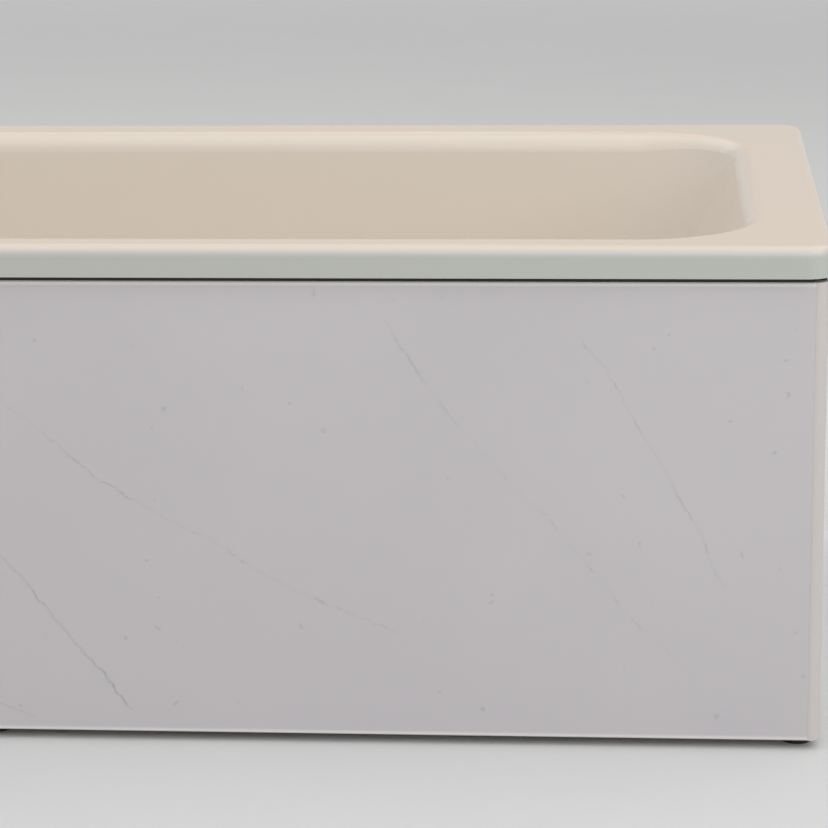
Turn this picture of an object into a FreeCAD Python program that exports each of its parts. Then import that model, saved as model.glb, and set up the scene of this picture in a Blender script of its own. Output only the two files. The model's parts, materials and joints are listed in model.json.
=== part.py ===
import FreeCAD, Part
import math
import os

# Panelled steel bathtub, millimetres. Origin on the floor under the middle of the tub.
# +X runs along the tub to the head end, -Y is the panelled front, +Y the wall, +Z up.

Vec = FreeCAD.Vector

# Driving dimensions of the whole tub
tub_length = 1700.0
tub_width = 750.0
tub_height = 515.0

# Tub sheet, rim and skirt
sheet_t = 2.5
skirt_drop = 31.4
rim_edge_r = 11.0
rim_corner_r = 28.0
rim_front_w = 57.0
rim_back_w = 79.0
rim_head_w = 78.0
rim_foot_w = 80.0
mouth_roll_r = 24.0

# Basin: slopes are measured from the vertical. Its depth is what the tub's height
# leaves above the waste fitting and the trap.
mouth_corner_r = 105.0
floor_corner_r = 125.0
floor_roll_r = 70.0
head_slope_deg = 29.0
foot_slope_deg = 10.0
side_slope_deg = 7.0
floor_fall_deg = 0.5

# Drain recess and overflow hole in the sheet
recess_r = 42.0
recess_depth = 4.0
recess_margin = 5.0
drain_hole_r = 26.0
overflow_below_rim = 70.0
overflow_hole_r = 26.0

# Panels and corner trims
panel_t = 12.0
panel_setback = 6.2
panel_floor_gap = 10.0
panel_rim_gap = 4.6
panel_bevel = 1.2
panel_joint = 0.4
wall_scribe_gap = 2.0

# Stiffeners glued to the front panel's back
stiffener_t = 10.0
stiffener_w = 60.0
stiffener_end_gap = 20.0
stiffener_end_inset = 305.0

# Panel sub-frame of square tube
tube_w = 20.0
tube_wall = 1.5
bottom_rail_z = 20.0
top_rail_drop = 9.0
back_post_gap = 15.0
rim_pad_t = 8.0
frame_foot_r = 16.0
frame_foot_t = 5.0
frame_foot_stem_r = 6.0
frame_foot_plug_h = 14.0

# Screws that hold the end panels to the posts
panel_screw_r = 1.8
panel_screw_head_r = 3.8
panel_screw_head_t = 2.4
panel_screw_bite = 8.0
panel_screw_inset = 60.0

# Magnet catches, catch plates and ledges for the front panel
magnet_t = 10.0
magnet_w = 44.0
magnet_h = 14.0
catch_plate_t = 1.0
catch_plate_w = 52.0
catch_plate_h = 20.0
catch_end_inset = 150.0
ledge_end_inset = 500.0
ledge_w = 40.0
ledge_t = 1.5
ledge_reach = 5.0

# Foam beads along the panels' top edges, which close the joint below the skirt
bead_w = 6.0
bead_edge_r = 2.4
bead_inset = 2.0
bead_end_gap = 2.0
bead_skirt_gap = 0.6

# Leg frames: channels across the tub with screw-adjusted feet
leg_end_inset = 510.0
channel_w = 40.0
channel_h = 25.0
channel_t = 2.0
channel_len = 560.0
saddle_t = 8.0
saddle_len = 110.0
saddle_inset = 95.0
foot_end_inset = 30.0
foot_rod_r = 5.0
foot_rod_top = 14.0
foot_pad_r = 25.0
foot_pad_t = 10.0
foot_boss_r = 11.0
foot_boss_h = 8.0
foot_socket_depth = 12.0
nut_flats = 17.0
nut_h = 8.0

# Deadening mats under the floor
mat_t = 3.0
mat_w = 330.0
mat_centre_gap = 130.0
mat_leg_gap = 45.0

# Wall brackets behind the back skirt
bracket_end_inset = 350.0
bracket_w = 70.0
bracket_t = 2.5
bracket_h = 80.0
bracket_hook_h = 20.0
bracket_gap = 3.0
bracket_hole_r = 3.5
bracket_hole_spacing = 44.0

# Waste fitting
seal_t = 1.5
flange_r = 37.0
flange_t = 2.5
flange_neck_r = 24.0
flange_bore_r = 21.5
flange_neck_len = 28.0
cross_w = 3.5
cross_t = 4.0
cross_drop = 18.0
guide_r = 6.0
gasket_t = 3.0
waste_top_r = 41.0
waste_top_t = 5.0
waste_cup_r = 30.0
waste_cup_h = 47.0
waste_floor_t = 3.0
waste_spigot_len = 14.0

# Pop-up plug and its lever
plug_travel = 10.0
plug_cap_r = 29.0
plug_cap_t = 3.0
plug_dome_h = 4.0
plug_seal_r = 25.5
plug_seal_t = 2.0
stem_r = 3.0
lever_swing_deg = 30.0
lever_t = 4.0
lever_w = 7.0
lever_hub_r = 4.5
lever_axle_r = 2.5
lever_pivot_above_cup = 19.0
hose_port_above_cup = 20.5
crank_len = 12.0
lever_box_l = 32.0
lever_box_w = 18.0
lever_box_h = 34.0
lever_box_t = 2.0
cable_offset = 31.0

# Trap and outlet pipe
pipe_r = 20.0
pipe_bore_r = 17.5
trap_turn_r = 28.0
trap_floor_gap = 4.0
trap_neck_len = 12.5
outlet_turn_r = 30.0
outlet_drop = 28.5
outlet_wall_gap = 10.0
union_nut_r = 26.5
union_nut_h = 18.0
grip_ribs = 12
clean_port_r = 14.0
clean_port_reach = 32.0
clean_cap_r = 17.0
clean_cap_t = 10.0
wall_of_port = 2.5

# Overflow fitting, measured along the foot wall's normal
cover_r = 36.0
cover_t = 5.0
cover_slot_in_r = 12.0
cover_slot_out_r = 24.0
cover_slots = 6
cover_web = 5.0
knob_r = 33.0
knob_t = 9.0
knob_edge_r = 2.5
knob_gap = 5.0
grip_len = 46.0
grip_w = 10.0
grip_h = 9.0
grip_round = 2.0
spindle_r = 4.0
drum_r = 13.0
drum_t = 6.0
drum_back_gap = 4.0
elbow_flange_r = 37.0
elbow_flange_t = 4.0
elbow_cup_r = 29.0
elbow_cup_len = 32.0
elbow_wall = 3.0
cover_screw_r = 2.0
cover_screw_head_r = 3.5
cover_screw_head_t = 1.5
cover_screw_y = 19.5
cover_screw_bite = 12.0
screw_boss_r = 4.5

# Ribbed hose between the overflow and the waste
hose_bore_r = 14.0
hose_valley_r = 16.0
hose_crest_r = 18.5
hose_rib_pitch = 12.0
hose_cuff_len = 30.0
# Each rib's four circles: where they lie along the rib, and whether they are on its crest
rib_place_shares = (0, 0.25, 0.6, 0.85)
rib_on_crest = (False, True, True, False)
hose_turn_r = 80.0
hose_start_drop = 40.0
hose_waste_gap = 12.0
spigot_wall = 2.2
spigot_len = 22.0
hose_nut_r = 22.0
hose_nut_h = 16.0

# Bowden cable with its clips
cable_r = 2.5
cable_turn_r = 110.0
cable_box_w = 12.0
cable_box_h = 24.0
cable_start_drop = 20.0
clip_w = 8.0
clip_t = 2.0
# How far down the hose's straight drop each clip sits
clip_place_shares = (0.3, 0.79)

# Earth tag under the rim
tag_end_inset = 160.0
tag_w = 20.0
tag_t = 2.0
tag_h = 26.0
tag_rim_inset = 34.0
tag_screw_r = 3.0
tag_screw_len = 14.0
tag_nut_flats = 10.0
tag_nut_h = 5.0

# Clearances and overrun of cuts
touch_gap = 0.3
fit_gap = 0.2
shaft_gap = 0.1
over = 10.0

# Places that follow from the sizes above
half_l = tub_length / 2
half_w = tub_width / 2
skirt_z = tub_height - skirt_drop
rim_under_z = tub_height - sheet_t
fall = math.tan(math.radians(floor_fall_deg))
head_run = math.tan(math.radians(head_slope_deg))
foot_run = math.tan(math.radians(foot_slope_deg))
side_run = math.tan(math.radians(side_slope_deg))
mouth_head_x = half_l - rim_head_w
mouth_foot_x = rim_foot_w - half_l
mouth_front_y = rim_front_w - half_w
mouth_back_y = half_w - rim_back_w
basin_y = (mouth_front_y + mouth_back_y) / 2
trap_z = trap_floor_gap + pipe_r + trap_turn_r
spigot_z = trap_z + trap_neck_len
cup_bottom_z = spigot_z + waste_spigot_len
cup_top_z = cup_bottom_z + waste_cup_h
drain_under_z = cup_top_z + gasket_t
drain_z = drain_under_z + sheet_t
basin_depth = tub_height - drain_z - recess_depth
foot_roll_run = floor_roll_r * math.tan(math.radians(90 - foot_slope_deg) / 2)
drain_x = mouth_foot_x + basin_depth * foot_run + foot_roll_run + recess_r + recess_margin
panel_top_z = skirt_z - panel_rim_gap
panel_face_y = panel_setback - half_w
panel_back_y = panel_face_y + panel_t
end_face_x = half_l - panel_setback
end_back_x = end_face_x - panel_t
frame_y = panel_back_y + catch_plate_t + touch_gap + magnet_t
back_post_y = half_w - back_post_gap
top_rail_z = panel_top_z - top_rail_drop - tube_w
post_top_z = rim_under_z - rim_pad_t
cable_y = basin_y + cable_offset
leg_x = half_l - leg_end_inset
foot_y = channel_len / 2 - foot_end_inset
mat_start_x = mat_centre_gap / 2
mat_end_x = leg_x - channel_w / 2 - mat_leg_gap
bracket_x = half_l - bracket_end_inset
stiffener_x = half_l - stiffener_end_inset
catch_x = half_l - catch_end_inset
ledge_x = half_l - ledge_end_inset
tag_x = tag_end_inset - half_l


def block(x0, x1, y0, y1, z0, z1):
    return Part.makeBox(x1 - x0, y1 - y0, z1 - z0, Vec(x0, y0, z0))


def rod(radius, start, end):
    """Cylinder between two points."""
    way = end - start
    return Part.makeCylinder(radius, way.Length, start, way)


def pipe(outer_r, inner_r, start, end):
    return rod(outer_r, start, end).cut(rod(inner_r, start, end))


def turned(profile, centre):
    """Solid turned about the vertical through centre from (radius, height) points."""
    points = [centre + Vec(r, 0, z) for r, z in profile]
    face = Part.Face(Part.makePolygon(points + [points[0]]))
    return face.revolve(centre, Vec(0, 0, 1), 360)


def hexagon(flats, height, start, way):
    """Hexagonal prism of the given width across flats, standing on start along way."""
    reach = flats / math.sqrt(3)
    corners = [Vec(reach * math.cos(a), reach * math.sin(a), 0)
               for a in [math.radians(60 * n) for n in range(6)]]
    face = Part.Face(Part.makePolygon(corners + [corners[0]]))
    prism = face.extrude(Vec(0, 0, height))
    turn = FreeCAD.Rotation(Vec(0, 0, 1), way)
    prism.Placement = FreeCAD.Placement(start, turn)
    return prism


def fused(shapes):
    whole = shapes[0].fuse(shapes[1:]) if len(shapes) > 1 else shapes[0]
    return whole.removeSplitter()


def save(name, shapes):
    """Write one node: a single solid, or a group of separate solids."""
    solids = [solid for shape in shapes for solid in shape.Solids]
    shape = solids[0] if len(solids) == 1 else Part.makeCompound(solids)
    shape.exportStep("parts/" + name + ".step")
    print(name, len(solids), "valid" if shape.isValid() else "NOT VALID", round(shape.Volume))


def rounded_rectangle(x0, x1, y0, y1, radius, z):
    """Closed wire of four lines and four quarter arcs."""
    bend = radius * (1 - math.sqrt(0.5))
    south = Part.LineSegment(Vec(x0 + radius, y0, z), Vec(x1 - radius, y0, z))
    south_east = Part.Arc(Vec(x1 - radius, y0, z), Vec(x1 - bend, y0 + bend, z), Vec(x1, y0 + radius, z))
    east = Part.LineSegment(Vec(x1, y0 + radius, z), Vec(x1, y1 - radius, z))
    north_east = Part.Arc(Vec(x1, y1 - radius, z), Vec(x1 - bend, y1 - bend, z), Vec(x1 - radius, y1, z))
    north = Part.LineSegment(Vec(x1 - radius, y1, z), Vec(x0 + radius, y1, z))
    north_west = Part.Arc(Vec(x0 + radius, y1, z), Vec(x0 + bend, y1 - bend, z), Vec(x0, y1 - radius, z))
    west = Part.LineSegment(Vec(x0, y1 - radius, z), Vec(x0, y0 + radius, z))
    south_west = Part.Arc(Vec(x0, y0 + radius, z), Vec(x0 + bend, y0 + bend, z), Vec(x0 + radius, y0, z))
    pieces = [south, south_east, east, north_east, north, north_west, west, south_west]
    return Part.Wire([piece.toShape() for piece in pieces])


def basin_solid(grow, top_z):
    """Basin space, grown all round by grow, from top_z down to the falling floor."""
    head_x = mouth_head_x + grow / math.cos(math.radians(head_slope_deg))
    foot_x = mouth_foot_x - grow / math.cos(math.radians(foot_slope_deg))
    side_grow = grow / math.cos(math.radians(side_slope_deg))
    front_y = mouth_front_y - side_grow
    back_y = mouth_back_y + side_grow
    depth = basin_depth + grow
    corner_run = (floor_corner_r - mouth_corner_r) / basin_depth
    rise = tub_height - top_z
    top = rounded_rectangle(foot_x + rise * foot_run, head_x - rise * head_run,
                            front_y + rise * side_run, back_y - rise * side_run,
                            mouth_corner_r + grow + rise * corner_run, top_z)
    low_head_x = (head_x - (depth + drain_x * fall) * head_run) / (1 - fall * head_run)
    low_foot_x = (foot_x + (depth + drain_x * fall) * foot_run) / (1 + fall * foot_run)
    floor = rounded_rectangle(low_foot_x, low_head_x, front_y + depth * side_run,
                              back_y - depth * side_run, floor_corner_r + grow, tub_height - depth)
    floor.rotate(Vec(drain_x, 0, tub_height - depth), Vec(0, -1, 0), floor_fall_deg)
    solid = Part.makeLoft([top, floor], True, True)
    low_edges = [edge for edge in solid.Edges if edge.BoundBox.ZMax < tub_height - basin_depth * 2 / 3]
    return solid.makeFillet(floor_roll_r + grow, low_edges)


def wall_frame(distance):
    """Placement on the foot wall at the overflow, its Z along the inward normal."""
    slope = math.radians(foot_slope_deg)
    normal = Vec(math.cos(slope), 0, math.sin(slope))
    face = Vec(mouth_foot_x + overflow_below_rim * foot_run, basin_y, tub_height - overflow_below_rim)
    # local X points up the wall, local Y along the tub's width
    turn = FreeCAD.Rotation(Vec(-math.sin(slope), 0, math.cos(slope)), Vec(0, -1, 0), normal, "ZXY")
    return FreeCAD.Placement(face + normal * distance, turn)


def on_wall(shape, distance):
    placed = shape.copy()
    placed.Placement = wall_frame(distance).multiply(placed.Placement)
    return placed


def at_wall(x, y, distance):
    return wall_frame(distance).multVec(Vec(x, y, 0))


def rim_edges_between(solid, low_z, high_z, inset):
    """Edges that lie between two heights and at least inset inside the rim's outline."""
    found = []
    for edge in solid.Edges:
        box = edge.BoundBox
        inside = max(abs(box.XMin), abs(box.XMax)) < half_l - inset
        if inside and low_z < box.ZMin and box.ZMax < high_z and abs(box.YMin) < half_w - inset:
            found.append(edge)
    return found


def tub_blank():
    """Outside of the pressed basin, with the recess that hangs under the drain."""
    outside = basin_solid(sheet_t, rim_under_z)
    sump = Part.makeCylinder(recess_r + sheet_t, recess_depth + sheet_t + over,
                             Vec(drain_x, basin_y, drain_under_z))
    return outside.fuse(sump).removeSplitter()


def rim_solid(inset, top_z, bottom_z, corner_r, edge_r):
    """Rounded slab: the rim's outline drawn in by inset, its top edge rolled."""
    slab = block(inset - half_l, half_l - inset, inset - half_w, half_w - inset, bottom_z, top_z)
    uprights = [edge for edge in slab.Edges if edge.BoundBox.ZLength > (top_z - bottom_z) / 2]
    slab = slab.makeFillet(corner_r, uprights)
    middle = (top_z + bottom_z) / 2
    top_edges = [edge for edge in slab.Edges if edge.BoundBox.ZMin > middle]
    return slab.makeFillet(edge_r, top_edges)


def tub_shell(blank):
    outer = rim_solid(0, tub_height, skirt_z, rim_corner_r, rim_edge_r)
    inner = rim_solid(sheet_t, rim_under_z, skirt_z - over, rim_corner_r - sheet_t, rim_edge_r - sheet_t)
    body = outer.cut(inner).fuse(blank).removeSplitter()
    under_edges = rim_edges_between(body, rim_under_z - shaft_gap, rim_under_z + shaft_gap,
                                    rim_edge_r + sheet_t)
    body = body.makeFillet(mouth_roll_r - sheet_t, under_edges)
    space = basin_solid(0, tub_height + over)
    body = body.cut(space)
    mouth_edges = rim_edges_between(body, tub_height - shaft_gap, tub_height + shaft_gap,
                                    rim_edge_r + sheet_t)
    body = body.makeFillet(mouth_roll_r, mouth_edges)
    recess = Part.makeCylinder(recess_r, recess_depth + over, Vec(drain_x, basin_y, drain_z))
    drain = Part.makeCylinder(drain_hole_r, over * 2, Vec(drain_x, basin_y, drain_z - over))
    overflow = on_wall(Part.makeCylinder(overflow_hole_r, over * 2), -over)
    return body.cut(recess).cut(drain).cut(overflow)


def floor_layer(blank, x0, x1, y0, y1, thickness):
    """Sheet of even thickness lying against the underside of the floor."""
    zone = block(x0, x1, y0, y1, 0, tub_height / 2)
    lowered = blank.copy()
    lowered.translate(Vec(0, 0, -thickness))
    return zone.common(lowered).cut(blank)


def deadening_mats(blank):
    return [floor_layer(blank, x0, x1, basin_y - mat_w / 2, basin_y + mat_w / 2, mat_t)
            for x0, x1 in ((-mat_end_x, -mat_start_x), (mat_start_x, mat_end_x))]


def floor_under_z(x):
    """Height of the floor's underside in the middle of the tub."""
    return tub_height - basin_depth - sheet_t + (x - drain_x) * fall


def channel_top(x):
    return floor_under_z(x - channel_w / 2) - saddle_t


def leg_frame(x):
    """Channel across the tub, open below, with a hole for each foot rod."""
    top = channel_top(x)
    y0 = basin_y - channel_len / 2
    y1 = basin_y + channel_len / 2
    frame = block(x - channel_w / 2, x + channel_w / 2, y0, y1, top - channel_h, top)
    hollow = block(x - channel_w / 2 + channel_t, x + channel_w / 2 - channel_t, y0 - over, y1 + over,
                   top - channel_h - over, top - channel_t)
    frame = frame.cut(hollow)
    for side in (-1, 1):
        foot = Vec(x, basin_y + side * foot_y, 0)
        hole = rod(foot_rod_r + fit_gap, foot, foot + Vec(0, 0, top + over))
        frame = frame.cut(hole)
    return frame


def saddle_pads(blank):
    """Rubber pads on the channels, their tops cut to the falling floor."""
    pads = []
    for x in (-leg_x, leg_x):
        for side in (-1, 1):
            y = basin_y + side * saddle_inset
            pad = block(x - channel_w / 2, x + channel_w / 2, y - saddle_len / 2, y + saddle_len / 2,
                        channel_top(x), tub_height / 2)
            pads.append(pad.cut(blank).Solids[0])
    return pads


def foot_places():
    return [(x, basin_y + side * foot_y) for x in (-leg_x, leg_x) for side in (-1, 1)]


def foot_rods():
    base_z = foot_pad_t + foot_boss_h - foot_socket_depth
    return [rod(foot_rod_r, Vec(x, y, base_z), Vec(x, y, channel_top(x) + foot_rod_top))
            for x, y in foot_places()]


def drilled_nut(flats, height, bore_r, start, way):
    nut = hexagon(flats, height, start, way)
    return nut.cut(rod(bore_r, start - way * over, start + way * (height + over)))


def foot_nuts():
    nuts = []
    up = Vec(0, 0, 1)
    for x, y in foot_places():
        web_top = channel_top(x)
        for low_z in (web_top, web_top - channel_t - nut_h):
            nuts.append(drilled_nut(nut_flats, nut_h, foot_rod_r + shaft_gap, Vec(x, y, low_z), up))
    return nuts


def foot_pads():
    pads = []
    for x, y in foot_places():
        socket_z = foot_pad_t + foot_boss_h - foot_socket_depth
        profile = [(0, 0), (foot_pad_r, 0), (foot_pad_r, foot_pad_t / 2), (foot_boss_r, foot_pad_t),
                   (foot_boss_r, foot_pad_t + foot_boss_h), (foot_rod_r + shaft_gap, foot_pad_t + foot_boss_h),
                   (foot_rod_r + shaft_gap, socket_z), (0, socket_z)]
        pads.append(turned(profile, Vec(x, y, 0)))
    return pads


def wall_bracket(x):
    """Plate on the wall under the skirt, joggled up behind it."""
    plate_top = skirt_z - bracket_gap
    plate = block(x - bracket_w / 2, x + bracket_w / 2, half_w - bracket_t, half_w,
                  plate_top - bracket_h, plate_top)
    tongue_y = half_w - sheet_t - touch_gap
    tongue = block(x - bracket_w / 2, x + bracket_w / 2, tongue_y - bracket_t, tongue_y,
                   plate_top - bracket_t, skirt_z + bracket_hook_h)
    step = block(x - bracket_w / 2, x + bracket_w / 2, tongue_y - bracket_t, half_w,
                 plate_top - bracket_t, plate_top)
    bracket = fused([plate, step, tongue])
    for side in (-1, 1):
        hole_at = Vec(x + side * bracket_hole_spacing / 2, half_w - over, plate_top - bracket_h / 2)
        bracket = bracket.cut(rod(bracket_hole_r, hole_at, hole_at + Vec(0, over * 2, 0)))
    return bracket


def front_panel():
    reach = end_back_x - panel_joint
    panel = block(-reach, reach, panel_face_y, panel_back_y, panel_floor_gap, panel_top_z)
    long_edges = [edge for edge in panel.Edges
                  if edge.BoundBox.XLength > reach and edge.BoundBox.YMax < panel_back_y - panel_t / 2]
    return panel.makeChamfer(panel_bevel, long_edges)


def bead(x0, x1, y0, y1):
    bar = block(x0, x1, y0, y1, panel_top_z, skirt_z - bead_skirt_gap)
    middle_z = (panel_top_z + skirt_z) / 2
    long_edges = [edge for edge in bar.Edges
                  if edge.BoundBox.ZMin > middle_z and edge.Length > bead_w + bead_end_gap]
    return bar.makeFillet(bead_edge_r, long_edges)


def front_bead():
    reach = end_back_x - panel_joint - bead_end_gap
    return bead(-reach, reach, panel_face_y + bead_inset, panel_face_y + bead_inset + bead_w)


def end_beads():
    right = bead(end_face_x - bead_inset - bead_w, end_face_x - bead_inset, panel_back_y + bead_end_gap,
                 half_w - wall_scribe_gap - bead_end_gap)
    return [right, right.mirror(Vec(0, 0, 0), Vec(1, 0, 0))]


def front_stiffeners():
    low_z = bottom_rail_z + tube_w + stiffener_end_gap
    high_z = top_rail_z - stiffener_end_gap
    return [block(x - stiffener_w / 2, x + stiffener_w / 2, panel_back_y, panel_back_y + stiffener_t,
                  low_z, high_z) for x in (-stiffener_x, 0, stiffener_x)]


def corner_trim(side):
    """Quarter-round strip that turns the corner between two panels."""
    centre = Vec(end_back_x, panel_back_y, panel_floor_gap)
    strip = Part.makeCylinder(panel_t, panel_top_z - panel_floor_gap, Vec(0, 0, 0), Vec(0, 0, 1), 90)
    strip.Placement = FreeCAD.Placement(centre, FreeCAD.Rotation(Vec(0, 0, 1), 270))
    return strip if side > 0 else strip.mirror(Vec(0, 0, 0), Vec(1, 0, 0))


def panel_screw_places():
    """Y and Z of the screws that hold an end panel, two through each post."""
    front = frame_y + tube_w / 2
    back = back_post_y - tube_w / 2
    low = bottom_rail_z + tube_w + panel_screw_inset
    high = top_rail_z - panel_screw_inset
    return [(y, z) for y in (front, back) for z in (low, high)]


def end_panel(side):
    panel = block(end_back_x, end_face_x, panel_back_y, half_w - wall_scribe_gap,
                  panel_floor_gap, panel_top_z)
    long_edges = [edge for edge in panel.Edges
                  if edge.BoundBox.YLength > half_w and edge.BoundBox.XMin > end_back_x + panel_t / 2]
    panel = panel.makeChamfer(panel_bevel, long_edges)
    for y, z in panel_screw_places():
        pilot = rod(panel_screw_r + shaft_gap, Vec(end_back_x - over, y, z),
                    Vec(end_back_x + panel_screw_bite, y, z))
        panel = panel.cut(pilot)
    return panel if side > 0 else panel.mirror(Vec(0, 0, 0), Vec(1, 0, 0))


def panel_screws():
    screws = []
    for y, z in panel_screw_places():
        head_x = end_back_x - tube_w
        shank = rod(panel_screw_r, Vec(head_x, y, z), Vec(end_back_x + panel_screw_bite, y, z))
        head = rod(panel_screw_head_r, Vec(head_x - panel_screw_head_t, y, z), Vec(head_x, y, z))
        screw = fused([shank, head])
        screws += [screw, screw.mirror(Vec(0, 0, 0), Vec(1, 0, 0))]
    return screws


def square_tube(x0, x1, y0, y1, z0, z1):
    """Square tube along its longest side, open at both ends."""
    sides = [x1 - x0, y1 - y0, z1 - z0]
    along = sides.index(max(sides))
    wall = [0 if n == along else tube_wall for n in range(3)]
    bore = block(x0 + wall[0], x1 - wall[0], y0 + wall[1], y1 - wall[1], z0 + wall[2], z1 - wall[2])
    return block(x0, x1, y0, y1, z0, z1).cut(bore)


def corner_post(side, y0):
    post = square_tube(end_back_x - tube_w, end_back_x, y0, y0 + tube_w, bottom_rail_z, post_top_z)
    for y, z in panel_screw_places():
        if y0 < y < y0 + tube_w:
            hole = rod(panel_screw_r + shaft_gap, Vec(end_back_x - tube_w - over, y, z),
                       Vec(end_back_x + over, y, z))
            post = post.cut(hole)
    return post if side > 0 else post.mirror(Vec(0, 0, 0), Vec(1, 0, 0))


def front_rail(z0):
    reach = end_back_x - tube_w
    return square_tube(-reach, reach, frame_y, frame_y + tube_w, z0, z0 + tube_w)


def end_rail(side, z0):
    rail = square_tube(end_back_x - tube_w, end_back_x, frame_y + tube_w, back_post_y - tube_w,
                       z0, z0 + tube_w)
    return rail if side > 0 else rail.mirror(Vec(0, 0, 0), Vec(1, 0, 0))


def centre_post():
    return square_tube(-tube_w / 2, tube_w / 2, frame_y, frame_y + tube_w,
                       bottom_rail_z + tube_w, top_rail_z)


def corner_places():
    x = end_back_x - tube_w / 2
    return [(side * x, y) for side in (-1, 1)
            for y in (frame_y + tube_w / 2, back_post_y - tube_w / 2)]


def frame_feet():
    """Plastic feet: plugged into the corner posts, and one under the front rail."""
    feet = []
    plug = tube_w / 2 - tube_wall - fit_gap
    for x, y in corner_places() + [(0, frame_y + tube_w / 2)]:
        base = rod(frame_foot_r, Vec(x, y, 0), Vec(x, y, frame_foot_t))
        stem = rod(frame_foot_stem_r, Vec(x, y, 0), Vec(x, y, bottom_rail_z))
        pieces = [base, stem]
        if x != 0:
            pieces.append(block(x - plug, x + plug, y - plug, y + plug,
                                bottom_rail_z, bottom_rail_z + frame_foot_plug_h))
        feet.append(fused(pieces))
    return feet


def rim_pads():
    """Rubber caps between the corner posts and the underside of the rim."""
    half = tube_w / 2
    return [block(x - half, x + half, y - half, y + half, post_top_z, rim_under_z)
            for x, y in corner_places()]


def catch_places():
    heights = (bottom_rail_z + tube_w / 2, top_rail_z + tube_w / 2)
    return [(x, z) for x in (-catch_x, 0, catch_x) for z in heights]


def magnet_catches():
    return [block(x - magnet_w / 2, x + magnet_w / 2, frame_y - magnet_t, frame_y,
                  z - magnet_h / 2, z + magnet_h / 2) for x, z in catch_places()]


def catch_plates():
    return [block(x - catch_plate_w / 2, x + catch_plate_w / 2, panel_back_y, panel_back_y + catch_plate_t,
                  z - catch_plate_h / 2, z + catch_plate_h / 2) for x, z in catch_places()]


def panel_ledges():
    """Angles on the bottom rail that carry the front panel's lower edge."""
    ledges = []
    for side in (-1, 1):
        x0 = side * ledge_x - ledge_w / 2
        x1 = side * ledge_x + ledge_w / 2
        leg = block(x0, x1, frame_y - ledge_t, frame_y, panel_floor_gap - ledge_t, bottom_rail_z + tube_w)
        lip = block(x0, x1, panel_back_y - ledge_reach, frame_y, panel_floor_gap - ledge_t, panel_floor_gap)
        ledges.append(fused([leg, lip]))
    return ledges


# Places of the waste fitting
seat_z = drain_z + seal_t
cup_bore_r = flange_neck_r + fit_gap
port_z = cup_bottom_z + hose_port_above_cup
lever_arm = plug_travel / (2 * math.sin(math.radians(lever_swing_deg / 2)))
pivot = Vec(drain_x - lever_arm * math.cos(math.radians(lever_swing_deg / 2)), basin_y,
            cup_bottom_z + lever_pivot_above_cup)
lever_box_y = cable_y - lever_box_w / 2


def drain_point(z):
    return Vec(drain_x, basin_y, z)


def waste_flange():
    """Chrome flange with its threaded neck, and the cross that guides the plug."""
    neck_z = seat_z + flange_t - flange_neck_len
    profile = [(flange_bore_r, neck_z), (flange_neck_r, neck_z), (flange_neck_r, seat_z),
               (flange_r, seat_z), (flange_r, seat_z + flange_t / 3), (flange_r - flange_t, seat_z + flange_t),
               (flange_neck_r + flange_t, seat_z + flange_t), (flange_bore_r, seat_z)]
    flange = turned([(r, z - drain_z) for r, z in profile], drain_point(drain_z))
    cross_z = seat_z - cross_drop
    pieces = [flange, rod(guide_r, drain_point(cross_z), drain_point(cross_z + cross_t * 2))]
    reach = (flange_bore_r + flange_neck_r) / 2
    pieces.append(block(drain_x - reach, drain_x + reach, basin_y - cross_w / 2, basin_y + cross_w / 2,
                        cross_z, cross_z + cross_t))
    pieces.append(block(drain_x - cross_w / 2, drain_x + cross_w / 2, basin_y - reach, basin_y + reach,
                        cross_z, cross_z + cross_t))
    guide = rod(stem_r + shaft_gap, drain_point(cross_z - over), drain_point(cross_z + over * 2))
    return fused(pieces).cut(guide)


def flange_seal():
    return pipe(flange_r - flange_t, drain_hole_r, drain_point(drain_z), drain_point(seat_z))


def waste_gasket():
    return pipe(waste_top_r - seal_t, drain_hole_r, drain_point(cup_top_z), drain_point(drain_under_z))


def waste_body():
    """Plastic cup under the drain, with overflow port, lever box and outlet."""
    outer = [rod(waste_top_r, drain_point(cup_top_z - waste_top_t), drain_point(cup_top_z)),
             rod(waste_cup_r, drain_point(cup_bottom_z), drain_point(cup_top_z)),
             rod(pipe_r, drain_point(cup_bottom_z - waste_spigot_len), drain_point(cup_bottom_z))]
    port_end = Vec(drain_x - waste_cup_r - hose_waste_gap - spigot_len, basin_y, port_z)
    port_start = drain_point(port_z)
    outer.append(rod(hose_bore_r - touch_gap, port_end, port_start))
    box_x0 = pivot.x - lever_box_l / 2
    box_x1 = pivot.x + lever_box_l / 2
    box_z0 = pivot.z - lever_box_h / 2
    outer.append(block(box_x0, box_x1, lever_box_y, lever_box_y + lever_box_w, box_z0, box_z0 + lever_box_h))
    bores = [rod(cup_bore_r, drain_point(cup_bottom_z + waste_floor_t), drain_point(cup_top_z)),
             rod(pipe_bore_r, drain_point(cup_bottom_z - waste_spigot_len - over),
                 drain_point(cup_bottom_z + waste_floor_t)),
             rod(hose_bore_r - touch_gap - spigot_wall, port_end - Vec(over, 0, 0), port_start),
             rod(lever_axle_r + shaft_gap, pivot, Vec(pivot.x, cable_y, pivot.z)),
             block(box_x0 + lever_box_t, box_x1 - lever_box_t, lever_box_y + lever_box_t,
                   lever_box_y + lever_box_w - lever_box_t, box_z0 + lever_box_t,
                   box_z0 + lever_box_h - lever_box_t)]
    body = fused(outer)
    for bore in bores:
        body = body.cut(bore)
    return body


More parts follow.
